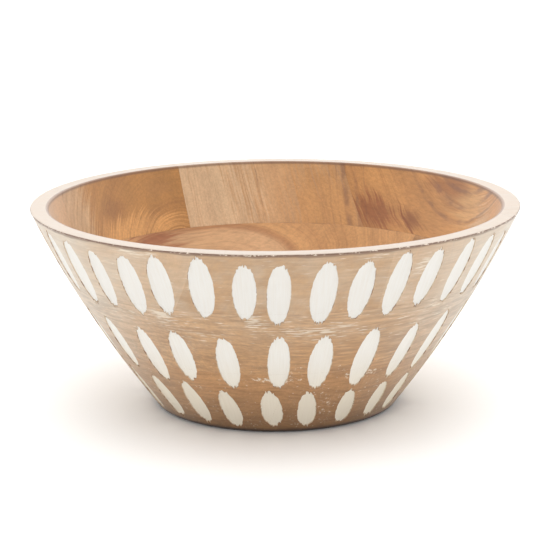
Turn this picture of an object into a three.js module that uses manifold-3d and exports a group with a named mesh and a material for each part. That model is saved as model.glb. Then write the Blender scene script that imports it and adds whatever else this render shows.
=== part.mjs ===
// A round wooden serving bowl, turned from a glued-up blank and carved by hand.
//
// The blank is three layers thick. Each layer is made of straight boards glued edge to edge, and the
// middle layer's boards run across the other two. Turning the hollow cuts through the boards that
// cross the middle of a layer, so such a board survives as two separate ends. The outside is then
// carved with three rows of shallow oval gouges, which run on across the glue joints.
//
// Millimetres, +Z up, origin at the centre of the base. The front of the bowl faces -Y.

import * as THREE from 'three';
import { mergeVertices } from 'three/addons/utils/BufferGeometryUtils.js';
import Module from 'manifold-3d';

// Outer shape
const HEIGHT = 127;
const RIM_RADIUS = 152.5;
const BASE_RADIUS = 75.5;
const WALL_BULGE = 4.8; // how far the middle of the outer wall stands out from a straight cone
const BASE_CHAMFER = 0.8;
const RIM_CHAMFER = 0.8;

// Hollow
const RIM_WIDTH = 11;
const WALL_TAPER = 0.031; // the wall gets this much thinner for each millimetre below the rim
const FLOOR_HEIGHT = 14;
const FLOOR_RADIUS = 60;
const CORNER_TOP = 40; // where the rounded inner corner runs out into the straight inner wall

// Resolution of the turned surface
const TURN_STEPS = 64;
const OUTER_STEPS = 4;
const INNER_STEPS = 4;
const CORNER_STEPS = 4;
const GOUGE_SIDES = 8;
const GOUGE_RINGS = 4;

// Boards
const GLUE_LINE = 0.3;
const BOARD_WIDTH = 104;
const BLOCK_OVERHANG = 10; // how far the uncut boards reach past the finished bowl
const GRAIN_ANGLE = THREE.MathUtils.degToRad(-63); // top and bottom boards, from the +X axis
const CROSS_ANGLE = GRAIN_ANGLE + Math.PI / 2; // middle boards

// A layer's boards are counted from right to left, looking along its grain direction. firstSeam is how far
// the first glue joint lies to the left of the bowl's axis, and ends names the two ends of a board that
// the hollow cuts through. The bottom layer's floor keeps its boards in one piece.
const LOW_JOINT = 44.5;
const HIGH_JOINT = 87.5;
const LAYERS = [
  { name: 'bottom', low: 0, high: LOW_JOINT, angle: GRAIN_ANGLE, firstSeam: -40, seams: 2, ends: null },
  {
    name: 'middle',
    low: LOW_JOINT,
    high: HIGH_JOINT,
    angle: CROSS_ANGLE,
    firstSeam: -75,
    seams: 2,
    ends: ['left', 'right'],
  },
  {
    name: 'top',
    low: HIGH_JOINT,
    high: HEIGHT,
    angle: GRAIN_ANGLE,
    firstSeam: -106,
    seams: 3,
    ends: ['back', 'front'],
  },
];

// Gouges: three rows from the top, counted round the bowl from phase (degrees to the right of the front).
// lean is how far a gouge's lower end is turned to the right of its upper end, in degrees.
const GOUGE_ROWS = [
  { count: 38, phase: 1.3, low: 81.8, high: 122, width: 14.8, lean: -0.8 },
  { count: 26, phase: -0.4, low: 34.3, high: 72.6, width: 13.5, lean: -0.3 },
  { count: 24, phase: -3.1, low: 4.2, high: 36.2, width: 12.2, lean: 1.8 },
];
const ERROR_SEEDS = { slip: 1, low: 2, high: 3, width: 4 }; // one for each kind of hand error
const NOISE_STEPS = { seed: 78.233, row: 37.719, gouge: 12.9898 }; // the usual odd factors of sine noise
const NOISE_SCALE = 43758.5453;
const GOUGE_DEPTH = 1.3;
const GOUGE_SINK = 0.3; // the cutting shape's centre lies this far under the skin
const HAND_SLIP = 2.3; // largest sideways error of a hand-cut gouge, millimetres
const HAND_STRETCH = 2.6; // largest error in the height of either end
const HAND_WIDTH = 1.1; // largest error in width
const CLEAR_ANGLE = THREE.MathUtils.degToRad(4.5); // a gouge this close under another must stop short of it
const CLEAR_GAP = 1.6;

// Colours of the boards, by node name, with a plain tan for the rest
const TAN = 0xc49a72;
const BOARD_COLOURS = {
  top_board_1: 0xb58a5c,
  top_board_2_back: 0xb6834f,
  top_board_3_back: 0xccab8b,
  top_board_4: 0xc08b5e,
  middle_board_3: 0xb87c4d,
  middle_board_2_right: 0xca9b6e,
};
const ROUGHNESS = 0.55;
const SAME_POINT = 1e-3; // corners closer together than this are one corner

const wasm = await Module();
wasm.setup();

/** Turn a closed three.js geometry into a manifold solid. */
function toSolid(geometry) {
  geometry.deleteAttribute('normal');
  geometry.deleteAttribute('uv');
  const merged = mergeVertices(geometry, SAME_POINT);
  const corners = merged.index.array;
  const triVerts = [];
  for (let i = 0; i < corners.length; i += 3) {
    const [a, b, c] = corners.slice(i, i + 3);
    if (a !== b && b !== c && c !== a) triVerts.push(a, b, c);
  }
  const vertProperties = new Float32Array(merged.attributes.position.array);
  const mesh = new wasm.Mesh({ numProp: 3, vertProperties, triVerts: new Uint32Array(triVerts) });
  return new wasm.Manifold(mesh);
}

/** Turn a manifold solid back into a three.js geometry with flat-shaded faces. */
function toGeometry(solid) {
  const mesh = solid.getMesh();
  const geometry = new THREE.BufferGeometry();
  geometry.setAttribute('position', new THREE.BufferAttribute(new Float32Array(mesh.vertProperties), 3));
  geometry.setIndex(new THREE.BufferAttribute(new Uint32Array(mesh.triVerts), 1));
  geometry.computeVertexNormals();
  return geometry;
}

/** Radius of the outer wall at height z. */
function outerRadius(z) {
  const t = z / HEIGHT;
  return THREE.MathUtils.lerp(BASE_RADIUS, RIM_RADIUS, t) + 4 * WALL_BULGE * t * (1 - t);
}

/** Radius of the hollow at height z, above the rounded inner corner. */
function innerRadius(z) {
  return outerRadius(z) - RIM_WIDTH + WALL_TAPER * (HEIGHT - z);
}

/** Angle between the outer wall and the vertical at height z. */
function wallAngle(z) {
  const slope = (RIM_RADIUS - BASE_RADIUS + 4 * WALL_BULGE * (1 - (2 * z) / HEIGHT)) / HEIGHT;
  return Math.atan(slope);
}

/** The bowl as it comes off the lathe, before carving. */
function turnedBowl() {
  const profile = [new THREE.Vector2(0, 0), new THREE.Vector2(outerRadius(0) - BASE_CHAMFER, 0)];
  const outerTop = HEIGHT - RIM_CHAMFER;
  for (let i = 0; i <= OUTER_STEPS; i++) {
    const z = THREE.MathUtils.lerp(BASE_CHAMFER, outerTop, i / OUTER_STEPS);
    profile.push(new THREE.Vector2(outerRadius(z), z));
  }
  profile.push(new THREE.Vector2(RIM_RADIUS - RIM_CHAMFER, HEIGHT));
  profile.push(new THREE.Vector2(RIM_RADIUS - RIM_WIDTH + RIM_CHAMFER, HEIGHT));
  for (let i = 0; i < INNER_STEPS; i++) {
    const z = THREE.MathUtils.lerp(outerTop, CORNER_TOP, i / INNER_STEPS);
    profile.push(new THREE.Vector2(innerRadius(z), z));
  }
  const cornerFoot = innerRadius(CORNER_TOP) - (CORNER_TOP - FLOOR_HEIGHT) * Math.tan(wallAngle(CORNER_TOP));
  const corner = new THREE.QuadraticBezierCurve(
    new THREE.Vector2(innerRadius(CORNER_TOP), CORNER_TOP),
    new THREE.Vector2(cornerFoot, FLOOR_HEIGHT),
    new THREE.Vector2(FLOOR_RADIUS, FLOOR_HEIGHT),
  );
  profile.push(...corner.getPoints(CORNER_STEPS));
  profile.push(new THREE.Vector2(0, FLOOR_HEIGHT));
  const lathe = new THREE.LatheGeometry(profile, TURN_STEPS);
  lathe.rotateX(Math.PI / 2);
  return toSolid(lathe);
}

/** A repeatable error between -1 and 1, different for each row, gouge and kind of error. */
function handError(kind, rowNumber, index) {
  const angle =
    ERROR_SEEDS[kind] * NOISE_STEPS.seed + rowNumber * NOISE_STEPS.row + index * NOISE_STEPS.gouge;
  const noise = Math.sin(angle) * NOISE_SCALE;
  return 2 * (noise - Math.floor(noise)) - 1;
}

/** One gouge with its hand errors: azimuth and lean in radians, ends and width in millimetres. */
function gouge(row, rowNumber, index) {
  const low = row.low + HAND_STRETCH * handError('low', rowNumber, index);
  const high = row.high + HAND_STRETCH * handError('high', rowNumber, index);
  const slip = (HAND_SLIP * handError('slip', rowNumber, index)) / outerRadius((low + high) / 2);
  const azimuth = THREE.MathUtils.degToRad(row.phase + (360 * index) / row.count) + slip;
  const width = row.width + HAND_WIDTH * handError('width', rowNumber, index);
  return { azimuth, low, high, width, lean: THREE.MathUtils.degToRad(row.lean) };
}

/** Every gouge. Those of the lowest row stop short of the ones right above them. */
function allGouges() {
  const rows = GOUGE_ROWS.map((row, rowNumber) =>
    Array.from({ length: row.count }, (_, index) => gouge(row, rowNumber, index)),
  );
  const [, middleRow, lowRow] = rows;
  for (const lower of lowRow) {
    for (const upper of middleRow) {
      const apart = lower.azimuth - lower.lean / 2 - (upper.azimuth + upper.lean / 2);
      if (Math.cos(apart) > Math.cos(CLEAR_ANGLE)) lower.high = Math.min(lower.high, upper.low - CLEAR_GAP);
    }
  }
  return rows.flat();
}

/** The shape that one gouge removes: a flat ellipsoid lying in the outer wall. */
function gougeCutter({ azimuth, low, high, width, lean }) {
  const middle = (low + high) / 2;
  const tilt = wallAngle(middle);
  const out = new THREE.Vector3(Math.sin(azimuth), -Math.cos(azimuth), 0);
  const along = new THREE.Vector3(Math.cos(azimuth), Math.sin(azimuth), 0);
  const up = out.clone().multiplyScalar(Math.sin(tilt)).add(new THREE.Vector3(0, 0, Math.cos(tilt)));
  const normal = new THREE.Vector3().crossVectors(along, up);
  const length = (high - low) / Math.cos(tilt);

  const cutter = new THREE.SphereGeometry(1, GOUGE_SIDES, GOUGE_RINGS);
  cutter.rotateX(Math.PI / 2);
  cutter.scale(width / 2, length / 2, GOUGE_DEPTH - GOUGE_SINK);
  cutter.rotateZ(Math.atan2(outerRadius(middle) * lean, length));
  cutter.applyMatrix4(new THREE.Matrix4().makeBasis(along, up, normal));
  const centre = out.multiplyScalar(outerRadius(middle)).addScaledVector(normal, -GOUGE_SINK);
  cutter.translate(centre.x, centre.y, centre.z + middle);
  return toSolid(cutter);
}

/** The turned bowl with all its gouges cut. */
function carvedBowl() {
  return allGouges().reduce((bowl, cut) => bowl.subtract(gougeCutter(cut)), turnedBowl());
}

/** The strips of one layer: each board's name and its block, as a box in the layer's own axes. */
function layerBlocks(layer) {
  const reach = RIM_RADIUS + BLOCK_OVERHANG;
  const gap = GLUE_LINE / 2;
  const seams = Array.from({ length: layer.seams }, (_, i) => layer.firstSeam + i * BOARD_WIDTH);
  const edges = [-reach, ...seams, reach];
  const bottom = layer.low === 0 ? -BLOCK_OVERHANG : layer.low + gap;
  const top = layer.high === HEIGHT ? HEIGHT + BLOCK_OVERHANG : layer.high - gap;
  const blocks = [];
  for (let i = 0; i + 1 < edges.length; i++) {
    const name = `${layer.name}_board_${i + 1}`;
    const across = [edges[i] + gap, edges[i + 1] - gap];
    const isOuter = i === 0 || i + 2 === edges.length;
    const lengths = isOuter || !layer.ends ? [['', -reach, reach]] : [
      [`_${layer.ends[0]}`, -reach, 0],
      [`_${layer.ends[1]}`, 0, reach],
    ];
    for (const [suffix, from, to] of lengths) {
      blocks.push({ name: name + suffix, min: [from, across[0], bottom], max: [to, across[1], top] });
    }
  }
  return blocks;
}

/** One board: the part of the carved bowl that lies inside the board's block. */
function board(bowl, layer, block) {
  const size = block.max.map((high, axis) => high - block.min[axis]);
  const centre = block.max.map((high, axis) => (high + block.min[axis]) / 2);
  const box = new THREE.BoxGeometry(...size);
  box.translate(...centre);
  box.rotateZ(layer.angle);
  const material = new THREE.MeshStandardMaterial({
    color: BOARD_COLOURS[block.name] ?? TAN,
    roughness: ROUGHNESS,
    metalness: 0,
  });
  const mesh = new THREE.Mesh(toGeometry(bowl.intersect(toSolid(box))), material);
  mesh.name = block.name;
  return mesh;
}

const bowl = new THREE.Group();
const carved = carvedBowl();
for (const layer of LAYERS) {
  for (const block of layerBlocks(layer)) {
    bowl.add(board(carved, layer, block));
  }
}

export default bowl;
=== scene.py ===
"""Looks of the carved wooden bowl: turned, glued-up boards with hand-cut, white-painted gouges outside.

The bowl's whole skin is made as one fine closed mesh and then cut into its boards, so that the wall, the
rim and the gouges run on smoothly from one board to the next. Lengths here are in millimetres, in the same
frame as the CAD model, and the finished meshes are in metres.
"""

import math

import bpy
import numpy as np
from mathutils import Matrix, Vector
from mathutils.bvhtree import BVHTree
from mathutils.geometry import delaunay_2d_cdt
from mathutils.interpolate import poly_3d_calc


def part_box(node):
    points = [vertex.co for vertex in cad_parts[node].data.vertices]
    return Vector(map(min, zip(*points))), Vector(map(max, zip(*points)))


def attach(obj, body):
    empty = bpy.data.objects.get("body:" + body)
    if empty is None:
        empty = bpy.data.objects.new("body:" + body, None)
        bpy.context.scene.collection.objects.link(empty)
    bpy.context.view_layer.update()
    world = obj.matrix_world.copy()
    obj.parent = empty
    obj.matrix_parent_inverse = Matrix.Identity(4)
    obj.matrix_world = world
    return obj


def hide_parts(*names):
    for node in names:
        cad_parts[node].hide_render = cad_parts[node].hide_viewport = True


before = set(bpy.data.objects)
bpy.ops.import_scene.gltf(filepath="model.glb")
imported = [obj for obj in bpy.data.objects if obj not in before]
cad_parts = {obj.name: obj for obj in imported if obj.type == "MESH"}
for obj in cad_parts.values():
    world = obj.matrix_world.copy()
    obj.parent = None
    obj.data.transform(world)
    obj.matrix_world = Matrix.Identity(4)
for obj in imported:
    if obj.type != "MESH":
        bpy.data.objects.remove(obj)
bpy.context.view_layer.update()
MM = 0.001

# Outer shape, as turned
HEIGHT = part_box("top_board_1")[1].z / MM
BASE_RADIUS = 75.5
RIM_RADIUS = 152.5
WALL_BULGE = 4.8  # how far the middle of the outer wall stands out from a straight cone
RIM_WIDTH = 11.0
WALL_TAPER = 0.031  # the wall gets this much thinner for each millimetre below the rim
CORNER_TOP = 40.0  # where the rounded inner corner runs out into the straight inner wall
FLOOR_HEIGHT = 14.0
FLOOR_RADIUS = 60.0
BASE_EDGE = 1.0  # height of the worn lower edge
RIM_EDGE = 1.1  # size of the worn outer edge of the rim
INNER_EDGE = 0.6  # size of the rim's rounded inner edge

# Boards
GLUE_LINE = 0.02  # the boards nearly touch here, so that no light falls in between
CAD_GAP = 0.3  # between neighbouring boards of the CAD model
BLOCK_OVERHANG = 20.0  # how far the uncut boards reach past the finished bowl
GRAIN_ANGLE = math.radians(-63)
CROSS_ANGLE = GRAIN_ANGLE + math.pi / 2
LOW_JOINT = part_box("middle_board_1")[0].z / MM - CAD_GAP / 2
HIGH_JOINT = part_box("middle_board_1")[1].z / MM + CAD_GAP / 2

# A layer's boards are counted from right to left, looking along its grain. seams: how far each glue joint
# lies to the left of the bowl's axis. ends: the two ends of a board that the hollow cuts through.
LAYERS = {
    "bottom": dict(low=None, high=LOW_JOINT, angle=GRAIN_ANGLE, seams=(-40, 64), ends=None),
    "middle": dict(
        low=LOW_JOINT, high=HIGH_JOINT, angle=CROSS_ANGLE, seams=(-75, 29), ends=("left", "right"),
    ),
    "top": dict(
        low=HIGH_JOINT, high=None, angle=GRAIN_ANGLE, seams=(-106, -2, 102), ends=("back", "front"),
    ),
}

# Gouges, in rows from the top, counted round the bowl from phase (degrees to the right of the front). lean
# is how far a gouge's lower end is turned to the right of its upper end, in degrees, and egg is how much
# wider than its middle a gouge is near its upper end.
GOUGE_ROWS = (
    dict(count=38, phase=1.3, low=81.8, high=122.0, width=14.8, lean=-0.8, egg=0.04),
    dict(count=26, phase=-0.4, low=34.3, high=72.6, width=13.5, lean=-0.3, egg=0.0),
    dict(count=24, phase=-3.1, low=4.2, high=36.2, width=12.2, lean=1.8, egg=-0.1),
)
ERROR_SEEDS = dict(slip=1, low=2, high=3, width=4)  # one for each kind of hand error
NOISE_STEPS = dict(seed=78.233, row=37.719, gouge=12.9898)  # the usual odd factors of sine noise
NOISE_SCALE = 43758.5453
GOUGE_DEPTH = 1.3
HAND_SLIP = 2.3  # largest sideways error of a hand-cut gouge
HAND_STRETCH = 2.6  # largest error in the height of either end
HAND_WIDTH = 1.1  # largest error in width
CLEAR_ANGLE = math.radians(4.5)  # a gouge this close under another must stop short of it
CLEAR_GAP = 1.6

# A gouge's outline and its frayed ends
END_REACH = 0.93  # how far across its end is frayed, against half its width
SIDE_REACH = 0.37  # how far up and down its side is plain, against half its length
END_POINT_STEP = 0.36  # between two points of a frayed end
SIDE_POINTS = 12
FULLNESS = (0.96, 1.04)  # powers that make it fuller or more pointed than an ellipse
FRAY = 2.1  # how far the torn fibres at a gouge's ends reach
TEETH = (-1.0, 0.35)  # how far inwards and outwards they reach, against FRAY
SIDE_WOBBLE = 0.12  # how unsteady its sides are

# The scoop inside it: a steep lip, and then rings, as (size against the outline, depth against the middle)
LIP_WIDTH = 0.3
LIP_DEPTH = 0.4  # at the lip's foot, against the middle
SCOOP = ((0.88, 0.62), (0.7, 0.85), (0.45, 1.0), (0.2, 1.0))

# Zones of the skin, kept as material numbers while the mesh is cut up, and the ones that the finish asks for
OUTSIDE, LIP_ZONE, PAINT, EDGE, RIM, INSIDE, JOINT = range(7)
ZONE_NAMES = {LIP_ZONE: "lip", PAINT: "paint", EDGE: "edge", RIM: "rim", INSIDE: "inside"}

COLUMNS = 720  # steps round the bowl
SHARP_ANGLE = math.radians(24)  # faces that meet at more than this show an edge
rng = np.random.default_rng(7)


# ---------------------------------------------------------------------------------------------------
# The turned shape


def outer_radius(z):
    t = z / HEIGHT
    return BASE_RADIUS + (RIM_RADIUS - BASE_RADIUS) * t + 4 * WALL_BULGE * t * (1 - t)


def inner_radius(z):
    return outer_radius(z) - RIM_WIDTH + WALL_TAPER * (HEIGHT - z)


def wall_tilt(z):
    """Angle between the outer wall and the vertical."""
    slope = (RIM_RADIUS - BASE_RADIUS + 4 * WALL_BULGE * (1 - 2 * z / HEIGHT)) / HEIGHT
    return np.arctan(slope)


def place(azimuth, radius, z):
    """Points in space from azimuths (radians to the right of the front), radii and heights."""
    return np.stack(np.broadcast_arrays(radius * np.sin(azimuth), -radius * np.cos(azimuth), z), axis=-1)


def ring_noise(azimuth, cells):
    """Smooth random values between -1 and 1 round the bowl, with that many knots."""
    knots = rng.uniform(-1, 1, cells)
    spots = (np.asarray(azimuth) / (2 * math.pi) % 1) * cells
    first = np.floor(spots).astype(int) % cells
    blend = spots % 1
    blend = blend * blend * (3 - 2 * blend)
    return knots[first] * (1 - blend) + knots[(first + 1) % cells] * blend


# ---------------------------------------------------------------------------------------------------
# Gouges


def hand_error(kind, row_number, index):
    """The same repeatable errors as the CAD model's gouges have."""
    row_part, gouge_part = row_number * NOISE_STEPS["row"], index * NOISE_STEPS["gouge"]
    noise = math.sin(ERROR_SEEDS[kind] * NOISE_STEPS["seed"] + row_part + gouge_part) * NOISE_SCALE
    return 2 * (noise - math.floor(noise)) - 1


def gouge(row_number, index):
    """One gouge with its hand errors: angles in radians, sizes in mm."""
    row = GOUGE_ROWS[row_number]
    low = row["low"] + HAND_STRETCH * hand_error("low", row_number, index)
    high = row["high"] + HAND_STRETCH * hand_error("high", row_number, index)
    slip = HAND_SLIP * hand_error("slip", row_number, index) / outer_radius((low + high) / 2)
    azimuth = math.radians(row["phase"] + 360 * index / row["count"]) + slip
    width = row["width"] + HAND_WIDTH * hand_error("width", row_number, index)
    lean = math.radians(row["lean"])
    return dict(azimuth=azimuth, low=low, high=high, width=width, lean=lean, egg=row["egg"])


def all_gouges():
    """Every gouge. Those of the lowest row stop short of the ones right above them."""
    top_row, middle_row, low_row = (
        [gouge(number, index) for index in range(row["count"])] for number, row in enumerate(GOUGE_ROWS)
    )
    for lower in low_row:
        for upper in middle_row:
            apart = lower["azimuth"] - lower["lean"] / 2 - (upper["azimuth"] + upper["lean"] / 2)
            if math.cos(apart) > math.cos(CLEAR_ANGLE):
                lower["high"] = min(lower["high"], upper["low"] - CLEAR_GAP)
    return top_row + middle_row + low_row


def gouge_outline(cut):
    """Outline of a gouge in its own axes, across and up the wall, in mm. The wood's fibres fray its ends."""
    half_length = (cut["high"] - cut["low"]) / 2 / math.cos(wall_tilt((cut["high"] + cut["low"]) / 2))
    half_width = cut["width"] / 2
    end = np.arccos(np.linspace(END_REACH, -END_REACH, int(2 * half_width / END_POINT_STEP)))
    side = np.linspace(-math.asin(SIDE_REACH), math.asin(SIDE_REACH), SIDE_POINTS + 2)[1:-1]
    angles = np.concatenate([end, math.pi + side, math.pi + end, 2 * math.pi + side])
    fullness = rng.uniform(*FULLNESS)
    across = half_width * np.sign(np.cos(angles)) * np.abs(np.cos(angles)) ** fullness
    up = half_length * np.sign(np.sin(angles)) * np.abs(np.sin(angles)) ** fullness
    across = across * (1 + cut["egg"] * up / half_length)
    reach = np.hypot(across, up)
    torn = np.abs(np.sin(angles)) ** 3
    teeth = np.repeat(rng.uniform(*TEETH, len(angles) // 2 + 1), 2)[:len(angles)]
    fray = torn * teeth * FRAY + (1 - torn) * rng.normal(0, SIDE_WOBBLE, len(angles))
    return np.stack([across, up], axis=1) * (1 + fray / reach)[:, None]


def on_wall(cut, local):
    """Azimuth and height of points given in a gouge's own axes."""
    middle = (cut["low"] + cut["high"]) / 2
    across, up = local[..., 0], local[..., 1]
    z = middle + up * math.cos(wall_tilt(middle))
    lean = -cut["lean"] * (z - middle) / (cut["high"] - cut["low"])
    return cut["azimuth"] + lean + across / outer_radius(z), z


def scoop_points(outline):
    """Points inside the lip, in the gouge's own axes, and how deep each lies."""
    points, depths = [], []
    for size, deep in SCOOP:
        ring = outline[::2] * size
        points.append(ring)
        depths.append(np.full(len(ring), deep * GOUGE_DEPTH))
    return np.concatenate(points), np.concatenate(depths)


# ---------------------------------------------------------------------------------------------------
# The carved outer wall, triangulated in the plane that the cone unrolls to

WALL_LOW, WALL_HIGH = BASE_EDGE, HEIGHT - RIM_EDGE
UNROLL = (RIM_RADIUS - BASE_RADIUS) / math.hypot(RIM_RADIUS - BASE_RADIUS, HEIGHT)
GRID_STEP = 3.4  # between the wall's points along a ring
RING_STEP = GRID_STEP * 0.8  # and from one ring to the next, in height
SIDE_CLEARANCE, END_CLEARANCE = 1.2, 2.0  # how far those points keep from a gouge
SLIT_NEAR = 185.0  # where the unrolled wall is slit, a little past the back, in degrees
SLIT_STEPS = 47  # up the slit
SAME_POINT = 1e-5  # points closer together than this are one point


def slit(z):
    """Azimuth of the slit at height z. It runs through the gaps between the gouges of each row."""
    heights, azimuths = [], []
    for row in reversed(GOUGE_ROWS):
        step = 360 / row["count"]
        gap = row["phase"] + step * (round((SLIT_NEAR - row["phase"]) / step - 0.5) + 0.5)
        heights += [row["low"], row["high"]]
        azimuths += [math.radians(gap + row["lean"] / 2), math.radians(gap - row["lean"] / 2)]
    return np.interp(z, heights, azimuths)


def unrolled(azimuth, z):
    """Points of the wall in the plane."""
    reach = outer_radius(z) / UNROLL
    angle = UNROLL * azimuth
    return np.stack([reach * np.sin(angle), reach * np.cos(angle)], axis=-1)


def wall_border():
    """Azimuth and height round the unrolled wall, and the two sides of the slit as index lists."""
    round_steps = np.arange(COLUMNS + 1) / COLUMNS * 2 * math.pi - 2 * math.pi
    heights = np.linspace(WALL_LOW, WALL_HIGH, SLIT_STEPS + 1)[1:-1]
    top = [(slit(WALL_HIGH) + a, WALL_HIGH) for a in round_steps]
    right = [(slit(z), z) for z in heights[::-1]]
    bottom = [(slit(WALL_LOW) + a, WALL_LOW) for a in round_steps[::-1]]
    left = [(slit(z) - 2 * math.pi, z) for z in heights]
    border = np.array(top + right + bottom + left)
    last_top = len(top) - 1
    first_right = len(top)
    first_bottom = first_right + len(right)
    last_bottom = first_bottom + len(bottom) - 1
    first_left = last_bottom + 1
    same = {0: last_top, last_bottom: first_bottom}
    for i in range(len(left)):
        same[first_left + i] = first_right + len(right) - 1 - i
    return border, same, np.arange(len(top)), np.arange(first_bottom, last_bottom + 1)[::-1]


def wall_mesh():
    """The carved wall: vertices, triangles, the zone of each triangle, and its two border rings."""
    border, same, top_ring, bottom_ring = wall_border()
    gouges = all_gouges()
    spots, depths, outlines = [border], [np.zeros(len(border))], [list(range(len(border)))[::-1]]
    total = len(border)
    for cut in gouges:
        turns = math.floor((slit((cut["low"] + cut["high"]) / 2) - cut["azimuth"]) / (2 * math.pi))
        cut["azimuth"] += 2 * math.pi * turns
        outline = gouge_outline(cut)
        scoop, scoop_depths = scoop_points(outline)
        inset = 1 - LIP_WIDTH / np.hypot(*outline.T)[:, None]
        azimuth, z = on_wall(cut, np.concatenate([outline, outline * inset, scoop]))
        count = len(outline)
        spots.append(np.stack([azimuth, z], axis=1))
        depths += [np.zeros(count), np.full(count, LIP_DEPTH * GOUGE_DEPTH), scoop_depths]
        outlines += [list(range(total, total + count)), list(range(total + count, total + 2 * count))]
        total += len(azimuth)
    grid = wall_grid(gouges)
    spots, depths = np.concatenate([*spots, grid]), np.concatenate([*depths, np.zeros(len(grid))])

    flat = [Vector(p) for p in unrolled(spots[:, 0], spots[:, 1])]
    inside_only = 1
    triangulated = delaunay_2d_cdt(flat, [], outlines, inside_only, SAME_POINT, True)
    _, _, triangles, from_vert, _, from_face = triangulated
    first = [ids[0] if ids else -1 for ids in from_vert]
    assert min(first) >= 0, "two outlines cross on the wall"
    merged = [same.get(i, i) for i in first]
    kept = [(t, faces) for t, faces in zip(triangles, from_face) if faces]
    zones = [(OUTSIDE, LIP_ZONE, PAINT)[len(faces) - 1] for _, faces in kept]
    triangles = [[merged[v] for v in t] for t, _ in kept]

    azimuth, z = spots[:, 0], spots[:, 1]
    tilt = wall_tilt(z)
    normal = place(azimuth, np.cos(tilt), 0 * z) - np.sin(tilt)[:, None] * np.array([0, 0, 1.0])
    points = place(azimuth, outer_radius(z), z) - depths[:, None] * normal
    rings = [np.array([same.get(i, i) for i in ring[:-1]]) for ring in (top_ring, bottom_ring)]
    return points, triangles, zones, *rings


def wall_grid(gouges):
    """Evenly spaced points over the wall, clear of the gouges and the border."""
    found = []
    rows = int((WALL_HIGH - WALL_LOW) / RING_STEP)
    for i in range(1, rows):
        z = WALL_LOW + (WALL_HIGH - WALL_LOW) * i / rows
        steps = int(2 * math.pi * outer_radius(z) / GRID_STEP)
        azimuth = slit(z) - 2 * math.pi * (np.arange(steps) + 0.5 + 0.5 * (i % 2)) / (steps + 1)
        found.append(np.stack([azimuth, np.full(steps, z)], axis=1))
    found = np.concatenate(found)
    clear = np.ones(len(found), bool)
    for cut in gouges:
        middle = (cut["low"] + cut["high"]) / 2
        half_length = (cut["high"] - cut["low"]) / 2
        lean = -cut["lean"] * (found[:, 1] - middle) / (2 * half_length)
        across = (found[:, 0] - cut["azimuth"] - lean) * outer_radius(found[:, 1])
        up = found[:, 1] - middle
        reach = (cut["width"] / 2 + SIDE_CLEARANCE, half_length + END_CLEARANCE)
        clear &= np.hypot(across / reach[0], up / reach[1]) > 1
    return found[clear]


# ---------------------------------------------------------------------------------------------------
# The rest of the skin: worn edges, rim, inside, floor and base

FLAT_RINGS = (40.0, 20.0, 6.0)  # radii of the rings on the floor and the base
WALL_RINGS = 29  # down the straight inner wall
CORNER_RINGS = 14
FINE_WEAR, COARSE_WEAR, DENTS = 360, 97, 240  # how many waves of each there are round an edge
DENT_LEVEL = 0.55  # noise above this makes a dent

# Rings of the worn outer edge of the rim: how far in from the top of the wall, how far below the rim,
# roughness, depth of the dents and zone. The base has one such ring, with its height above the base.
WEAR_ALLOWANCE = 0.1  # how much of the turned rim is worn away
RIM_EDGE_RINGS = (
    (0.02, 0.62, 0.07, 0.5, EDGE),
    (0.34, 0.22, 0.07, 0.5, EDGE),
    (0.95, 0.0, 0.10, 0.3, RIM),
)
BASE_EDGE_RING = (0.35, 0.3, 0.05, 0.2)
RIM_FLAT, BASE_FLAT = 1.6, 1.0  # how far in from the outer edge the rim and the base are flat
INNER_EDGE_RINGS = ((INNER_EDGE, 0.05), (0.2, 0.25))  # how far out from the hollow, and below the rim


def edge_row(radius, z, offset, roughness, chips):
    """One ring of a worn edge, with small dents."""
    azimuth = offset + np.arange(COLUMNS) / COLUMNS * 2 * math.pi
    wear = roughness * (ring_noise(azimuth, FINE_WEAR) + 0.6 * ring_noise(azimuth, COARSE_WEAR))
    dents = chips * np.clip(ring_noise(azimuth, DENTS) - DENT_LEVEL, 0, 1)
    return place(azimuth, radius - wear - dents, z - dents + 0 * azimuth)


def plain_row(radius, z, offset):
    azimuth = offset + np.arange(COLUMNS) / COLUMNS * 2 * math.pi
    return place(azimuth, radius, z + 0 * azimuth)


def rows_over_the_rim():
    """Rings from the wall's top edge over the rim and down to the middle of the floor, with their zones."""
    offset = slit(WALL_HIGH)
    top = outer_radius(HEIGHT) - WEAR_ALLOWANCE
    inner_top = inner_radius(HEIGHT)
    rows = [
        (edge_row(top - inwards, HEIGHT - down, offset, roughness, chips), zone)
        for inwards, down, roughness, chips, zone in RIM_EDGE_RINGS
    ]
    for radius in (top - RIM_FLAT, inner_top + 2 * INNER_EDGE):
        rows.append((plain_row(radius, HEIGHT, offset), RIM))
    for outwards, down in INNER_EDGE_RINGS:
        rows.append((plain_row(inner_top + outwards, HEIGHT - down, offset), INSIDE))
    for z in np.linspace(HEIGHT - INNER_EDGE, CORNER_TOP, WALL_RINGS + 1):
        rows.append((plain_row(inner_radius(z), z, offset), INSIDE))
    foot = inner_radius(CORNER_TOP) - (CORNER_TOP - FLOOR_HEIGHT) * math.tan(wall_tilt(CORNER_TOP))
    for t in np.linspace(0, 1, CORNER_RINGS + 1)[1:]:
        radius = inner_radius(CORNER_TOP) * (1 - t) ** 2 + 2 * foot * t * (1 - t) + FLOOR_RADIUS * t * t
        z = CORNER_TOP * (1 - t) ** 2 + FLOOR_HEIGHT * (2 * t * (1 - t) + t * t)
        rows.append((plain_row(radius, z, offset), INSIDE))
    for radius in FLAT_RINGS:
        rows.append((plain_row(radius, FLOOR_HEIGHT, offset), INSIDE))
    return rows


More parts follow.
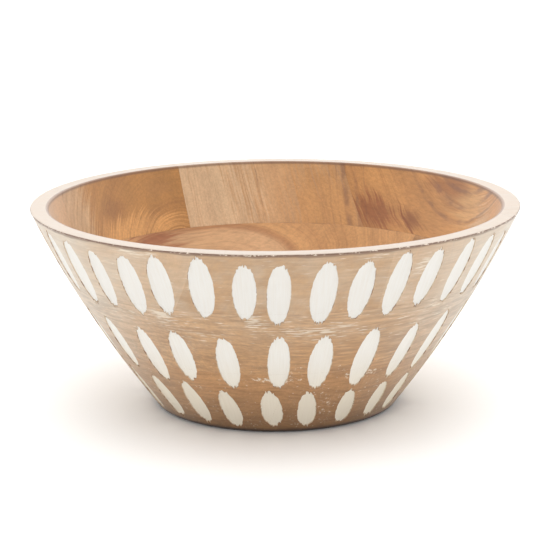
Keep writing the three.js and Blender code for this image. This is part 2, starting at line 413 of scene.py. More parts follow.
def rows_under_the_base():
    """Rings from the wall's lower edge to the middle of the base, with their zones."""
    offset = slit(WALL_LOW)
    edge = outer_radius(0)
    inwards, up, roughness, chips = BASE_EDGE_RING
    rows = [
        (edge_row(edge - inwards, up, offset, roughness, chips), EDGE),
        (plain_row(edge - BASE_FLAT, 0.0, offset), EDGE),
    ]
    for radius in (FLOOR_RADIUS, *FLAT_RINGS):
        rows.append((plain_row(radius, 0.0, offset), OUTSIDE))
    return rows


def quad_strip(lower, upper, flip):
    """Faces between two rings of vertex numbers."""
    a, b = lower, np.roll(lower, -1)
    c, d = np.roll(upper, -1), upper
    faces = np.stack([a, b, c, d], axis=1)
    return faces[:, ::-1] if flip else faces


def bowl_skin():
    """The whole closed skin: points in metres, faces, and the zone of each face."""
    points, faces, zones, top_ring, bottom_ring = wall_mesh()
    parts = [points]
    total = len(points)
    for ring, rows, flip, centre in (
        (top_ring, rows_over_the_rim(), False, (0, 0, FLOOR_HEIGHT)),
        (bottom_ring, rows_under_the_base(), True, (0, 0, 0)),
    ):
        for row, zone in rows:
            parts.append(row)
            new_ring = np.arange(total, total + COLUMNS)
            total += COLUMNS
            faces += [list(f) for f in quad_strip(ring, new_ring, flip)]
            zones += [zone] * COLUMNS
            ring = new_ring
        parts.append(np.array([centre], float))
        fan = [[a, b, total] for a, b in zip(ring, np.roll(ring, -1))]
        faces += [f[::-1] for f in fan] if flip else fan
        zones += [rows[-1][1]] * COLUMNS
        total += 1
    used, numbers = np.unique(np.concatenate(faces), return_inverse=True)
    breaks = np.cumsum([len(face) for face in faces])[:-1]
    faces = [face.tolist() for face in np.split(numbers, breaks)]
    return np.concatenate(parts)[used] * MM, faces, zones


def make_mesh(name, points, faces, zones):
    mesh = bpy.data.meshes.new(name)
    mesh.from_pydata([tuple(p) for p in points], [], faces)
    mesh.polygons.foreach_set("material_index", np.array(zones, dtype=np.int32))
    mesh.update()
    thing = bpy.data.objects.new(name, mesh)
    bpy.context.scene.collection.objects.link(thing)
    return thing


# ---------------------------------------------------------------------------------------------------
# Cutting the skin into its boards


def board_blocks():
    """Each board's name, its layer's angle, and the box (along, across, up) in mm that it fills."""
    reach = RIM_RADIUS + BLOCK_OVERHANG
    gap = GLUE_LINE / 2
    for layer_name, layer in LAYERS.items():
        edges = (-reach, *layer["seams"], reach)
        low = -BLOCK_OVERHANG if layer["low"] is None else layer["low"] + gap
        high = HEIGHT + BLOCK_OVERHANG if layer["high"] is None else layer["high"] - gap
        ends = layer["ends"]
        for i in range(len(edges) - 1):
            name = f"{layer_name}_board_{i + 1}"
            across = (edges[i] + gap, edges[i + 1] - gap)
            whole = ends is None or i in (0, len(edges) - 2)
            spans = {name: (-reach, reach)} if whole else {
                f"{name}_{ends[0]}": (-reach, 0),
                f"{name}_{ends[1]}": (0, reach),
            }
            for piece_name, along in spans.items():
                yield piece_name, layer["angle"], (along, across, (low, high))


def block_object(angle, spans):
    """The block as an object: its three spans are in the layer's own axes."""
    corners = [(x, y, z) for x in spans[0] for y in spans[1] for z in spans[2]]
    turned = [Matrix.Rotation(angle, 3, "Z") @ Vector(c) * MM for c in corners]
    sides = [(0, 1, 3, 2), (4, 6, 7, 5), (0, 4, 5, 1), (2, 3, 7, 6), (0, 2, 6, 4), (1, 5, 7, 3)]
    return make_mesh("block", turned, sides, [JOINT] * 6)


def smooth_shaded(mesh):
    mesh.polygons.foreach_set("use_smooth", np.ones(len(mesh.polygons), dtype=bool))
    mesh.set_sharp_from_angle(angle=SHARP_ANGLE)


def corner_normals(mesh):
    normals = np.zeros(len(mesh.loops) * 3, dtype=np.float32)
    mesh.corner_normals.foreach_get("vector", normals)
    return normals.reshape(-1, 3)


def hide_cuts(mesh, zones, skin, tree, skin_normals):
    """Give the corners along the cuts the uncut skin's normals, so that no cut shows in the shading."""
    normals = corner_normals(mesh)
    cut = {v for face in mesh.polygons if zones[face.index] == JOINT for v in face.vertices}
    for face in mesh.polygons:
        corners = [c for c in face.loop_indices if mesh.loops[c].vertex_index in cut]
        if zones[face.index] == JOINT or not corners:
            continue
        source = skin.polygons[tree.find_nearest(face.center)[2]]
        outline = [skin.vertices[v].co for v in source.vertices]
        for corner in corners:
            weights = poly_3d_calc(outline, mesh.vertices[mesh.loops[corner].vertex_index].co)
            normals[corner] = np.dot(weights, skin_normals[list(source.loop_indices)])
    mesh.normals_split_custom_set(normals.tolist())


def cut_board(skin, name, angle, spans):
    """The part of the skin's solid that lies in a block, as a new object, and the zone of each face."""
    block = block_object(angle, spans)
    cut = skin.modifiers.new("cut", "BOOLEAN")
    cut.solver, cut.operation, cut.object = "MANIFOLD", "INTERSECT", block
    graph = bpy.context.evaluated_depsgraph_get()
    mesh = bpy.data.meshes.new_from_object(skin.evaluated_get(graph))
    skin.modifiers.remove(cut)
    bpy.data.objects.remove(block)
    board = bpy.data.objects.new(name, mesh)
    bpy.context.scene.collection.objects.link(board)

    zones = np.zeros(len(mesh.polygons), dtype=np.int32)
    mesh.polygons.foreach_get("material_index", zones)
    for zone, attribute in ZONE_NAMES.items():
        flags = mesh.attributes.new(attribute, "FLOAT", "FACE")
        flags.data.foreach_set("value", (zones == zone).astype(np.float32))
    mesh.polygons.foreach_set("material_index", np.zeros(len(zones), dtype=np.int32))
    mesh.materials.clear()
    smooth_shaded(mesh)
    return board, zones


def cut_boards():
    """Every board, with its finish and its place in the frame."""
    skin = make_mesh("skin", *bowl_skin())
    for zone in range(JOINT + 1):  # so that the zones' numbers last through the cut
        skin.data.materials.append(bpy.data.materials.new(f"zone_{zone}"))
    smooth_shaded(skin.data)
    skin_normals = corner_normals(skin.data)
    tree = BVHTree.FromPolygons([v.co for v in skin.data.vertices], [f.vertices for f in skin.data.polygons])
    for name, angle, spans in board_blocks():
        board, zones = cut_board(skin, name + "_wood", angle, spans)
        hide_cuts(board.data, zones, skin.data, tree, skin_normals)
        board.data.materials.append(board_material(name, angle, spans))
        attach(board, "root")
        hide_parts(name)
    bpy.data.objects.remove(skin)


# ---------------------------------------------------------------------------------------------------
# Materials


class Graph:
    """Short ways to add shader nodes to one material."""

    def __init__(self, material):
        self.nodes = material.node_tree.nodes
        self.links = material.node_tree.links

    def feed(self, socket, value):
        """Link a socket to the value, or set the value where it is a plain one."""
        if isinstance(value, bpy.types.NodeSocket):
            self.links.new(value, socket)
        else:
            socket.default_value = value

    def node(self, kind, *values, **settings):
        """A new node, with its settings, and with the values fed to its first inputs."""
        node = self.nodes.new("ShaderNode" + kind)
        for setting, value in settings.items():
            setattr(node, setting, value)
        for socket, value in zip(node.inputs, values):
            self.feed(socket, value)
        return node

    def maths(self, operation, *values):
        return self.node("Math", *values, operation=operation).outputs[0]

    def add(self, a, b):
        return self.maths("ADD", a, b)

    def times(self, a, b):
        return self.maths("MULTIPLY", a, b)

    def swing(self, noise, span):
        """The noise as a number that swings about 0, with that span from end to end."""
        return self.times(self.add(noise, -0.5), span)

    def away_from(self, value, middle):
        """How far the value is from the middle, either way."""
        return self.maths("ABSOLUTE", self.add(value, -middle))

    def step(self, value, low, high, to_low=0.0, to_high=1.0):
        """A soft step from to_low to to_high as value goes from low to high."""
        numbers = (value, low, high, to_low, to_high)
        return self.node("MapRange", *numbers, interpolation_type="SMOOTHSTEP").outputs[0]

    def vector(self, x, y, z):
        return self.node("CombineXYZ", x, y, z).outputs[0]

    def length(self, x, y, z=0.0):
        return self.node("VectorMath", self.vector(x, y, z), operation="LENGTH").outputs["Value"]

    def noise(self, spot, factors, detail=2.0, roughness=0.5):
        """Noise from 0 to 1 at a spot, whose coordinates are first multiplied by the factors."""
        node = self.node("TexNoise")
        scaled = [self.times(value, factor) for value, factor in zip(spot, factors)]
        self.feed(node.inputs["Vector"], self.vector(*scaled))
        node.inputs["Scale"].default_value = 1.0
        node.inputs["Detail"].default_value = detail
        node.inputs["Roughness"].default_value = roughness
        return node.outputs["Fac"]

    def mix(self, factor, a, b, blend="MIX"):
        """A blend of two colours, each a socket or three numbers."""
        node = self.node("Mix", factor, data_type="RGBA", blend_type=blend)
        for index, value in ((6, a), (7, b)):
            self.feed(node.inputs[index], (*value, 1.0) if isinstance(value, tuple) else value)
        return node.outputs[2]

    def shaded(self, colour, shade):
        """The colour times a number."""
        return self.mix(1.0, colour, self.vector(shade, shade, shade), "MULTIPLY")

    def blend_numbers(self, factor, a, b):
        node = self.node("Mix", factor, data_type="FLOAT")
        self.feed(node.inputs[2], a)
        self.feed(node.inputs[3], b)
        return node.outputs[0]

    def face_value(self, name):
        return self.node("Attribute", attribute_name=name).outputs["Fac"]


def rgb(red, green, blue):
    """A colour given as screen values from 0 to 255, as the linear values that a shader takes."""
    values = (c / 255 for c in (red, green, blue))
    return tuple(c / 12.92 if c <= 0.04045 else ((c + 0.055) / 1.055) ** 2.4 for c in values)


# How each board's wood looks. Places are (along, across, up) in the board's own axes, in mm.
# sap: the plain wood's colour. dark: the colour of its rings and pores.
# pith: centre of the growth rings, across and up. wander: how wavy the rings are. lines: how dark they are.
# fibre: how much lighter and darker the coarse fibres are, if not as usual.
# heart: radius and colour of the heartwood. streaks: dark planes, as (across at the joint, lean, half width,
# strength). clouds: patches of another colour, as (place, size, colour, strength).
PLAIN_FIBRE = 0.08
GOLD, GOLD_DARK = rgb(178, 127, 68), rgb(142, 92, 50)
PALE, PALE_DARK = rgb(204, 160, 114), rgb(150, 104, 70)
FLAME, FLAME_DARK = rgb(200, 146, 88), rgb(130, 78, 46)
TAN, TAN_DARK = rgb(188, 142, 94), rgb(138, 92, 58)
BROWN, BROWN_DARK = rgb(182, 134, 86), rgb(124, 80, 48)
PLUM = rgb(124, 86, 68)
SHARED_STREAKS = (  # they run on over the seam between the third and the fourth top board
    (88.5, 0.16, 0.5, 0.35),
    (92.0, 0.16, 0.35, 0.3),
    (96.0, 0.15, 1.5, 0.5),
    (100.5, 0.19, 0.9, 0.45),
    (104.0, 0.2, 0.35, 0.3),
)
WOODS = {
    # top_board_1's pale sap is partly the wood's own colour and partly a painted sheen on the far left of
    # the hollow
    "top_board_1": dict(pith=(-330, 90), wander=8, lines=0.2, sap=rgb(198, 156, 112), dark=PALE_DARK),
    "top_board_2": dict(
        pith=(-10, 72), wander=7, lines=0.3, sap=GOLD, dark=GOLD_DARK,
        clouds=(
            ((-118, -58, 106), (30, 9, 8), GOLD_DARK, 0.45),
            ((-120, -20, 116), (30, 12, 7), rgb(168, 120, 70), 0.5),
            ((-108, -38, 92), (36, 40, 10), rgb(220, 163, 98), 0.75),
            # A painted sheen: the pale patch on the hollow's far left
            ((-88, -95, 105), (40, 17, 60), rgb(206, 172, 132), 0.7),
        ),
    ),
    "top_board_3": dict(
        pith=(-300, 100), wander=6, lines=0.2, sap=PALE, dark=PALE_DARK,
        streaks=((46, -0.145, 0.4, 0.35), (50.5, 0.0, 0.4, 0.4), *SHARED_STREAKS),
        clouds=(
            ((-125, 12, 108), (60, 38, 60), rgb(216, 184, 146), 0.9),
            ((-90, 88, 98), (60, 26, 40), rgb(198, 146, 90), 0.85),
            ((125, 20, 108), (70, 60, 60), rgb(188, 140, 90), 0.9),
        ),
    ),
    "top_board_4": dict(
        pith=(-250, 104), wander=9, lines=0.3, sap=FLAME, dark=FLAME_DARK,
        streaks=(*SHARED_STREAKS, (129, 0.05, 0.6, 0.5), (132, 0.1, 0.9, 0.6), (135, 0.1, 0.6, 0.5)),
        clouds=(
            ((-60, 107, 98), (30, 14, 13), rgb(140, 82, 48), 0.8),
            ((-36, 121, 97), (14, 3.5, 9), rgb(126, 72, 42), 0.7),
            ((17, 136, 112), (22, 30, 14), rgb(213, 167, 112), 0.8),
            ((-15, 138, 121), (24, 8, 7), rgb(140, 84, 46), 0.6),
            ((36, 120, 112), (16, 14, 40), rgb(210, 178, 144), 0.65),
        ),
    ),
    "middle_board_1": dict(pith=(-60, -90), wander=14, lines=0.35, fibre=0.12, sap=TAN, dark=TAN_DARK),
    "middle_board_2": dict(pith=(30, -190), wander=10, lines=0.35, fibre=0.16, sap=TAN, dark=TAN_DARK),
    "middle_board_3": dict(
        pith=(140, 30), wander=7, lines=0.26, sap=rgb(210, 160, 106), dark=rgb(146, 92, 58),
        heart=(60, rgb(214, 172, 128)),
        clouds=(((-30, 112, 83), (20, 16, 10), rgb(154, 90, 50), 0.8),),
    ),
    "bottom_board_1": dict(pith=(-60, -120), wander=12, lines=0.35, sap=BROWN, dark=BROWN_DARK),
    "bottom_board_2": dict(pith=(20, 190), wander=12, lines=0.35, sap=BROWN, dark=BROWN_DARK),
    "bottom_board_3": dict(pith=(90, -100), wander=12, lines=0.35, sap=BROWN, dark=BROWN_DARK),
}

# Noise in the wood, as cells to a millimetre along, across and up the board
BLOTCHES = (1 / 45, 1 / 14, 1 / 22)
COARSE_FIBRES = (1 / 16, 0.6, 0.6)
FINE_FIBRES = (1 / 9, 2.2, 2.2)
PORES = (1 / 5, 2.1, 2.1)
BREAKS = (1 / 12, 1 / 12, 1 / 9)

# Noise round the outside, as cells to a radius in either level direction, and to a millimetre upwards
LATHE_LINES = (7, 7, 0.62)
SCRATCHES = (13, 13, 1.15)
SPECKS = (45, 45, 0.75)
PATCHES = (5.5, 5.5, 1 / 14)
BRUSH_MARKS = (150, 150, 1 / 16)

# Heights between which a coating, a stain, a darker band, a painted sheen or a painted shade fades in or
# out, and the like
FOOT_DARKENING = (0.8, 3.6)
INNER_EDGE_BAND = (HEIGHT - 2.4, HEIGHT - 0.9)
UNDER_RIM_STAIN = (HEIGHT - 2.6, HEIGHT - 1.4)
WHITEWASH_COVER, PAINTED_SHEEN_HEIGHTS, PAINTED_FLOOR_SHADE = (38, 105), (0, 90), (-8, 46)
SPECKS_TO_SCRATCHES = (48, 66)
PAINTED_BOUNCE_HEIGHTS, PAINTED_LIGHT_HEIGHTS = (20, 60), (62, 80)
RIM_OR_BASE = (5, 20)  # below this an edge is the base's, and above it the rim's
GLUE_FADE = (0.12, 0.5)  # how far from a joint its dark line fades out
PAINTED_SHEEN_SIDE, PAINTED_SHEEN_REACH = 85, (20, 65)  # azimuth of the sides that get the painted sheen, and how far round that sheen fades, degrees

# Colours of the coatings, the dirt, the worn edges and the painted light and shade. The first is the thin
# whitewash, and also the painted sheen on the bowl's two sides
WHITEWASH_AND_PAINTED_SHEEN, THICK_WHITEWASH, BLEACHED_WOOD = rgb(211, 202, 187), rgb(232, 222, 205), rgb(196, 172, 144)
UNDER_RIM_BROWN, INNER_EDGE_BROWN = rgb(120, 94, 76), rgb(108, 78, 62)
GLUE_BROWN, FOOT_BROWN = rgb(108, 70, 44), rgb(66, 44, 26)
# The lip's dark brown is bare wood where the paint is patchy, made darker as painted shade in the gouges'
# recesses
LIP_BARE_WOOD_AND_SHADE, LIP_PAINT = rgb(146, 112, 84), rgb(206, 186, 160)
# The paint is lighter round the middle row and warmer low down: painted light for the warm light that the
# floor bounces up
PAINT_WITH_PAINTED_BOUNCE, PAINT_WITH_PAINTED_LIGHT, PAINT_HIGH = rgb(234, 226, 209), rgb(234, 232, 226), rgb(226, 224, 219)
BRUSH_MARK = rgb(208, 192, 168)
RIM_WASH = rgb(196, 184, 171)
# The base edge's dark brown is partly dirt and partly a painted contact shadow
RIM_EDGE_BROWN, RIM_CHIP, BASE_EDGE_DIRT_AND_SHADOW = rgb(118, 90, 72), rgb(226, 212, 194), rgb(56, 32, 14)

# Roughness, from the plain surface to the fully rubbed or porous one, and relief in mm
WHITEWASH_ROUGHNESS, LACQUER_ROUGHNESS, PAINT_ROUGHNESS = (0.62, 0.8), (0.36, 0.55), 0.6
PORE_DEPTH, RUB_HEIGHT, BRUSH_HEIGHT = 0.04, 0.08, 0.12

# How strongly the fine lines round the outside show in each layer
OUTSIDE_LINES = {"top": 0.08, "middle": 0.18, "bottom": 0.13}

# The soft shine of the dry whitewash, which thins out towards the base
WHITEWASH_SHEEN = {"top": 0.35, "middle": 0.3, "bottom": 0.15}
SHEEN_ROUGHNESS = 0.4

# Where the whitewash is rubbed thickest, as (azimuth in degrees, height, half width in degrees, half height,
# strength), besides the band between the two upper rows of gouges and the thin haze everywhere
RUBS = (
    (-5, 82, 4.5, 7, 1.0),
    (8, 76, 12, 5, 0.8),
    (-31, 83, 9, 5, 0.8),
    (48, 83, 8, 6, 0.6),
    (35, 112, 3, 9, 0.6),
    (-33, 124, 7, 3, 0.7),
    (26, 123, 6, 3, 0.7),
    (30, 41, 9, 3, 0.9),
    (0, 41, 10, 2.5, 0.9),
    (20, 18, 5, 7, 0.4),
)
RUBBED_BAND, RUBBED_BAND_FADE = 77, (2, 12)  # that band's height, and how far from there it fades


def board_material(name, angle, spans):
    """A board's finish: lacquered inside, whitewashed outside, painted in the gouges, worn at the edges."""
    material = bpy.data.materials.new(name + "_finish")
    material.use_nodes = True
    g = Graph(material)
    shader = g.nodes["Principled BSDF"]
    spot, own_spot = shader_spots(g, angle)
    layer_name = name.split("_")[0]
    wood, pores = wood_colour(g, name, own_spot)
    outside, rub = outside_colour(g, layer_name, wood, spot)
    paint, brush = paint_colour(g, spot)
    inside_mask, paint_mask = g.face_value("inside"), g.face_value("paint")

    colour = g.mix(inside_mask, outside, inside_colour(g, wood, spot))
    colour = with_glue_lines(g, colour, spot, own_spot[1], spans, inside_mask)
    # A darker brown right above the base
    foot = g.step(spot[2], *FOOT_DARKENING, 0.9, 0.0)
    colour = g.mix(foot, colour, FOOT_BROWN)
    colour = g.mix(g.face_value("lip"), colour, lip_colour(g, spot))
    colour = g.mix(paint_mask, colour, paint)
    colour = g.mix(g.face_value("rim"), colour, rim_colour(g, wood, spot))
    colour = g.mix(g.face_value("edge"), colour, edge_colour(g, spot))
    g.feed(shader.inputs["Base Color"], colour)

    whitewash, lacquer = g.step(rub, 0, 1, *WHITEWASH_ROUGHNESS), g.step(pores, 0, 1, *LACQUER_ROUGHNESS)
    roughness = g.blend_numbers(inside_mask, whitewash, lacquer)
    g.feed(shader.inputs["Roughness"], g.blend_numbers(paint_mask, roughness, PAINT_ROUGHNESS))
    shader.inputs["Sheen Weight"].default_value = WHITEWASH_SHEEN[layer_name]
    shader.inputs["Sheen Roughness"].default_value = SHEEN_ROUGHNESS

    grain = g.times(pores, -PORE_DEPTH)
    relief = g.blend_numbers(inside_mask, g.add(g.times(rub, RUB_HEIGHT), grain), grain)
    relief = g.blend_numbers(paint_mask, relief, g.times(brush, BRUSH_HEIGHT))
    bump = g.node("Bump")
    bump.inputs["Strength"].default_value = 0.6
    bump.inputs["Distance"].default_value = MM
    g.feed(bump.inputs["Height"], relief)
    g.feed(shader.inputs["Normal"], bump.outputs[0])
    return material


def shader_spots(g, angle):
    """Where a point is, in mm: in the bowl's axes, and in the board's own (along, across, up)."""
    split = g.node("SeparateXYZ", g.node("TexCoord").outputs["Object"])
    x, y, z = (g.times(split.outputs[i], 1 / MM) for i in range(3))
    along = g.add(g.times(x, math.cos(angle)), g.times(y, math.sin(angle)))
    across = g.add(g.times(x, -math.sin(angle)), g.times(y, math.cos(angle)))
    return (x, y, z), (along, across, z)


def wood_colour(g, name, own_spot):
    """The bare wood: growth rings round a pith, fibres and pores, all running along the board. Also gives
    where the pores are."""
    wood = WOODS["_".join(name.split("_")[:3])]
    seed = sum(ord(letter) for letter in name) % 97  # differs from piece to piece
    along, across, up = own_spot
    own_up = g.add(g.times(up, 1 / 40), seed)
    wander = g.noise((along, across, own_up), (1 / 110, 1 / 40, 1), 3)
    radius = g.length(g.add(across, -wood["pith"][0]), g.add(up, -wood["pith"][1]))
    radius = g.add(radius, g.swing(wander, wood["wander"]))
    broad = g.noise((radius, along, seed), (1 / 7, 1 / 200, 1), 2)
    fine = g.noise((radius, along, seed + 7), (1 / 1.8, 1 / 150, 1), 3, 0.6)
    hatch = g.noise((radius, along, up), (0.9, 1 / 60, 1 / 30), 2, 0.6)

    colour = with_heart(g, wood, wood["sap"], radius)
    colour = with_clouds(g, wood, colour, own_spot, hatch, fine)
    for value, low, high, strength in (  # the dark lines of the rings
        (broad, 0.42, 0.7, 0.7),
        (fine, 0.54, 0.72, 0.7),
        (hatch, 0.5, 0.68, 0.6),
    ):
        colour = g.mix(g.times(g.step(value, low, high), strength * wood["lines"]), colour, wood["dark"])
    colour = with_streaks(g, wood, colour, own_spot)
    colour = with_fibres(g, wood, colour, own_spot, hatch)
    pores = g.step(g.noise(own_spot, PORES, 1), 0.62, 0.74)
    return g.mix(g.times(pores, 0.25), colour, wood["dark"]), pores


def with_heart(g, wood, colour, radius):
    """The colour with the heartwood and the dark ring round it, where the board has any."""
    if "heart" not in wood:
        return colour
    size, heart_colour = wood["heart"]
    colour = g.mix(g.step(radius, size - 3, size + 1, 1.0, 0.0), colour, heart_colour)
    return g.mix(g.step(g.away_from(radius, size), 0.3, 2.6, 0.4, 0.0), colour, wood["dark"])


def with_clouds(g, wood, colour, own_spot, hatch, fine):
    """The colour with the board's patches of other colours, whose edges follow the grain."""
    for centre, size, cloud_colour, strength in wood.get("clouds", ()):
        offsets = [g.times(g.add(v, -c), 1 / r) for v, c, r in zip(own_spot, centre, size)]
        ragged = g.add(g.length(*offsets), g.add(g.swing(hatch, 2.4), g.swing(fine, 0.6)))
        colour = g.mix(g.step(ragged, 0.4, 1.25, strength, 0.0), colour, cloud_colour)
    return colour


def with_streaks(g, wood, colour, own_spot):
    """The colour with the board's dark planes, which wander a little and break up here and there."""
    _, across, up = own_spot
    broken = g.noise(own_spot, BREAKS, 2)
    for at_joint, lean, half_width, strength in wood.get("streaks", ()):
        plane = g.add(across, g.times(g.add(up, -HIGH_JOINT), -lean))
        away = g.maths("ABSOLUTE", g.add(g.add(plane, -at_joint), g.swing(broken, 1.6)))
        streak = g.step(away, 0.3 * half_width, 1.3 * half_width, strength, 0.0)
        colour = g.mix(g.times(streak, g.step(broken, 0.35, 0.6, 1.0, 0.3)), colour, PLUM)
    return colour


def with_fibres(g, wood, colour, own_spot, hatch):
    """The colour made a little lighter and darker by blotches and fibres."""
    fibre = wood.get("fibre", PLAIN_FIBRE)
    blotches = g.noise(own_spot, BLOTCHES, 3)
    coarse = g.noise(own_spot, COARSE_FIBRES, 2, 0.65)
    fine = g.noise(own_spot, FINE_FIBRES, 1)
    for value, at_low, at_high in (
        (blotches, 0.93, 1.06),
        (coarse, 1 - fibre, 1 + 0.8 * fibre),
        (fine, 0.96, 1.03),
        (hatch, 1.02, 0.98),
    ):
        colour = g.shaded(colour, g.step(value, 0.32, 0.68, at_low, at_high))
    return colour


def inside_colour(g, wood, spot):
    """The bare wood, with a darker band right below the rim."""
    band = g.times(g.step(spot[2], *INNER_EDGE_BAND), 0.7)
    return g.mix(band, wood, INNER_EDGE_BROWN)


def turned_spot(g, spot):
    """A spot's direction from the bowl's axis, as two numbers that run round without a break, and height."""
    x, y, z = spot
    far = g.length(x, y)
    return g.maths("DIVIDE", x, far), g.maths("DIVIDE", y, far), z


def outside_colour(g, layer_name, wood, spot):
    """The outside: turned wood under a whitewash, which is thin low down and stays in the scratches round
    the bowl, with a painted sheen on the bowl's two sides and painted shade towards the floor. Also gives
    how white each spot is rubbed."""
    x, y, z = spot
    round_spot = turned_spot(g, spot)
    patches = g.noise(round_spot, PATCHES, 3, 0.6)
    azimuth = g.times(g.maths("ARCTAN2", x, g.times(y, -1.0)), math.degrees(1))
    rub = rubbed_white(g, round_spot, azimuth, patches)

    cover = g.step(z, *WHITEWASH_COVER, 0.12, 1.0)
    colour = g.mix(g.times(cover, 0.4), wood, BLEACHED_WOOD)
    # Painted sheen: the whitewash colour is laid on thickly round both sides of the bowl, standing in for
    # the light that the sides catch, and it is weaker low down
    from_side = g.away_from(g.maths("ABSOLUTE", azimuth), PAINTED_SHEEN_SIDE)
    sides = g.times(g.step(from_side, *PAINTED_SHEEN_REACH, 0.55, 0.0), g.step(z, *PAINTED_SHEEN_HEIGHTS, 0.3, 1.0))
    haze_and_painted_sheen = g.add(g.times(g.step(patches, 0.35, 0.7, 0.08, 0.3), cover), sides)
    colour = g.mix(haze_and_painted_sheen, colour, WHITEWASH_AND_PAINTED_SHEEN)
    lines = g.noise(round_spot, LATHE_LINES, 2, 0.65)
    depth = OUTSIDE_LINES[layer_name]
    turned = g.step(lines, 0.35, 0.65, 1 - depth, 1 + depth / 3)
    # The lathe lines, and painted shade: the wall gets darker towards the floor
    colour = g.shaded(colour, g.times(turned, g.step(z, *PAINTED_FLOOR_SHADE, 0.6, 1.0)))
    colour = g.mix(g.times(rub, 0.66), colour, THICK_WHITEWASH)
    below_rim = g.step(g.add(z, g.swing(patches, 4)), *UNDER_RIM_STAIN, 0.0, 0.75)
    return g.mix(below_rim, colour, UNDER_RIM_BROWN), rub


def rubbed_white(g, round_spot, azimuth, patches):
    """How white a spot outside is rubbed, from 0 to 1: in scratches higher up, in specks lower down."""
    z = round_spot[2]
    streaks = g.noise(round_spot, SCRATCHES, 2, 0.65)
    specks = g.noise(round_spot, SPECKS, 2, 0.65)
    scratches = g.blend_numbers(g.step(z, *SPECKS_TO_SCRATCHES), specks, streaks)
    band = g.step(g.away_from(z, RUBBED_BAND), *RUBBED_BAND_FADE, 1.0, 0.0)
    rubbed = g.times(band, 0.35)
    for middle, height, half_width, half_height, strength in RUBS:
        sideways = g.times(g.add(azimuth, -middle), 1 / half_width)
        upwards = g.times(g.add(z, -height), 1 / half_height)
        rubbed = g.maths("MAXIMUM", rubbed, g.step(g.length(sideways, upwards), 0.3, 1.3, strength, 0.0))
    amount = g.add(g.add(scratches, g.times(rubbed, 0.22)), g.swing(patches, 0.3))
    return g.step(amount, 0.63, 0.78)


def with_glue_lines(g, colour, spot, across, spans, inside_mask):
    """The colour with a thin dark line, faint along the board's glued edges inside, and broken up where the
    layers meet."""
    x, y, z = spot
    seams, joints = glue_mask(g, across, spans[1]), glue_mask(g, z, spans[2])
    gaps = g.step(g.noise((x, y, 1.0), (1 / 9, 1 / 9, 1), 2), 0.4, 0.62, 0.03, 0.3)
    line = g.maths("MAXIMUM", g.times(g.times(seams, inside_mask), 0.1), g.times(joints, gaps))
    return g.mix(line, colour, GLUE_BROWN)


def glue_mask(g, value, limits):
    """1 where the value is at either limit of the board, fading to 0 a little way off."""
    sides = [g.step(g.away_from(value, limit), *GLUE_FADE, 1.0, 0.0) for limit in limits]
    return g.maths("MAXIMUM", *sides)


def lip_colour(g, spot):
    """The steep edge of a gouge, where the paint is patchy and the bare wood shows, darkened as painted
    shade in the recess.
    """
    return g.mix(g.step(g.noise(spot, (1 / 3, 1 / 3, 1 / 5), 2), 0.34, 0.56), LIP_BARE_WOOD_AND_SHADE, LIP_PAINT)


def paint_colour(g, spot):
    """The white paint, with brush marks up and down, made lighter round the middle and warmer low down as
    painted light. Also gives where the marks are.
    """
    z = spot[2]
    brush = g.noise(turned_spot(g, spot), BRUSH_MARKS, 3, 0.6)
    lower = g.mix(g.step(z, *PAINTED_BOUNCE_HEIGHTS), PAINT_WITH_PAINTED_BOUNCE, PAINT_WITH_PAINTED_LIGHT)
    colour = g.mix(g.step(z, *PAINTED_LIGHT_HEIGHTS), lower, PAINT_HIGH)
    return g.mix(g.step(brush, 0.35, 0.75, 0.0, 0.16), colour, BRUSH_MARK), brush


def rim_colour(g, wood, spot):
    """The flat top of the rim, with a streaky wash over the wood."""
    x, y, _ = spot
    streaks = g.noise((x, y, 3.0), (1 / 14, 1 / 5, 1), 3, 0.6)
    return g.mix(g.step(streaks, 0.3, 0.7, 0.8, 0.94), wood, RIM_WASH)


def edge_colour(g, spot):
    """The worn edges: a dark line with white chips round the rim, and round the base a dark line that is
    partly dirt and partly painted contact shadow.
    """
    x, y, z = spot
    chips = g.noise(spot, (1 / 2.2, 1 / 2.2, 1 / 1.2), 3, 0.65)
    worn = g.noise((x, y, 5.0), (1 / 16, 1 / 16, 1), 2)
    white = g.step(g.add(chips, g.times(worn, 0.35)), 0.72, 0.84)
    return g.mix(g.step(z, *RIM_OR_BASE), BASE_EDGE_DIRT_AND_SHADOW, g.mix(white, RIM_EDGE_BROWN, RIM_CHIP))


# ---------------------------------------------------------------------------------------------------
# Studio: floor, light and camera

CAMERA_PLACE = Vector((0.0, -1288.5, 383.5)) * MM
CAMERA_TARGET = Vector((-0.4, 0.0, 79.6)) * MM
CAMERA_ROLL = math.radians(0.42)
LENS, SENSOR = 137.5, 36.0
FLOOR_SIDE = 12.0  # metres
FLOOR_DROP = 0.2 * MM  # keeps the floor from lying in the same plane as the base


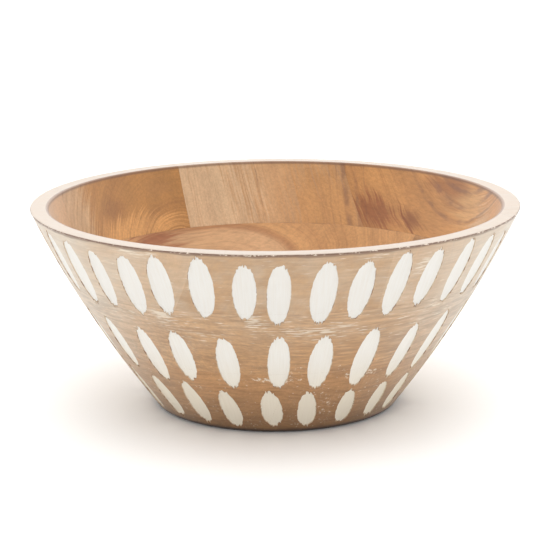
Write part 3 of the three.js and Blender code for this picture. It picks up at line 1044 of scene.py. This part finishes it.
def make_floor():
    """A wide white floor."""
    half = FLOOR_SIDE / 2
    mesh = bpy.data.meshes.new("floor")
    corners = [(x, y, -FLOOR_DROP) for x, y in ((-half, -half), (half, -half), (half, half), (-half, half))]
    mesh.from_pydata(corners, [], [(0, 1, 2, 3)])
    floor = bpy.data.objects.new("floor", mesh)
    bpy.context.scene.collection.objects.link(floor)
    material = bpy.data.materials.new("floor_white")
    material.use_nodes = True
    shader = material.node_tree.nodes["Principled BSDF"]
    shader.inputs["Base Color"].default_value = (0.93, 0.925, 0.915, 1)
    shader.inputs["Roughness"].default_value = 0.9
    shader.inputs["Specular IOR Level"].default_value = 0.1
    mesh.materials.append(material)


def soft_sun(name, azimuth, elevation, spread, strength):
    """A far, wide light. Azimuth runs to the right of the front, and all angles are in degrees."""
    light = bpy.data.lights.new(name, "SUN")
    light.energy, light.angle = strength, math.radians(spread)
    thing = bpy.data.objects.new(name, light)
    azimuth, elevation = math.radians(azimuth), math.radians(elevation)
    level = math.cos(elevation)
    towards = Vector((level * math.sin(azimuth), -level * math.cos(azimuth), math.sin(elevation)))
    thing.rotation_euler = towards.to_track_quat("Z", "Y").to_euler()
    bpy.context.scene.collection.objects.link(thing)


def make_lights():
    """A white surrounding, one light from above, and softer ones from behind and from both sides."""
    world = bpy.data.worlds.new("studio")
    world.use_nodes = True
    background = world.node_tree.nodes["Background"]
    background.inputs["Color"].default_value = (1, 1, 1, 1)
    background.inputs["Strength"].default_value = 0.8
    bpy.context.scene.world = world
    soft_sun("overhead", azimuth=8, elevation=77, spread=50, strength=1.2)
    for side in (-1, 1):
        soft_sun("back", azimuth=side * 160, elevation=35, spread=60, strength=0.65)
        soft_sun("side", azimuth=side * 100, elevation=28, spread=60, strength=0.32)


def make_camera():
    """The camera, in front of the bowl and a little above it."""
    data = bpy.data.cameras.new("camera")
    data.lens, data.sensor_width, data.sensor_fit = LENS, SENSOR, "HORIZONTAL"
    data.clip_start, data.clip_end = 0.05, 50
    camera = bpy.data.objects.new("camera", data)
    aim = (CAMERA_TARGET - CAMERA_PLACE).to_track_quat("-Z", "Y").to_matrix().to_4x4()
    camera.matrix_world = Matrix.Translation(CAMERA_PLACE) @ aim @ Matrix.Rotation(-CAMERA_ROLL, 4, "Z")
    bpy.context.scene.collection.objects.link(camera)
    bpy.context.scene.camera = camera


make_camera()
make_lights()
make_floor()
cut_boards()
bpy.context.scene.view_settings.view_transform = "Standard"
bpy.context.scene.cycles.use_denoising = True
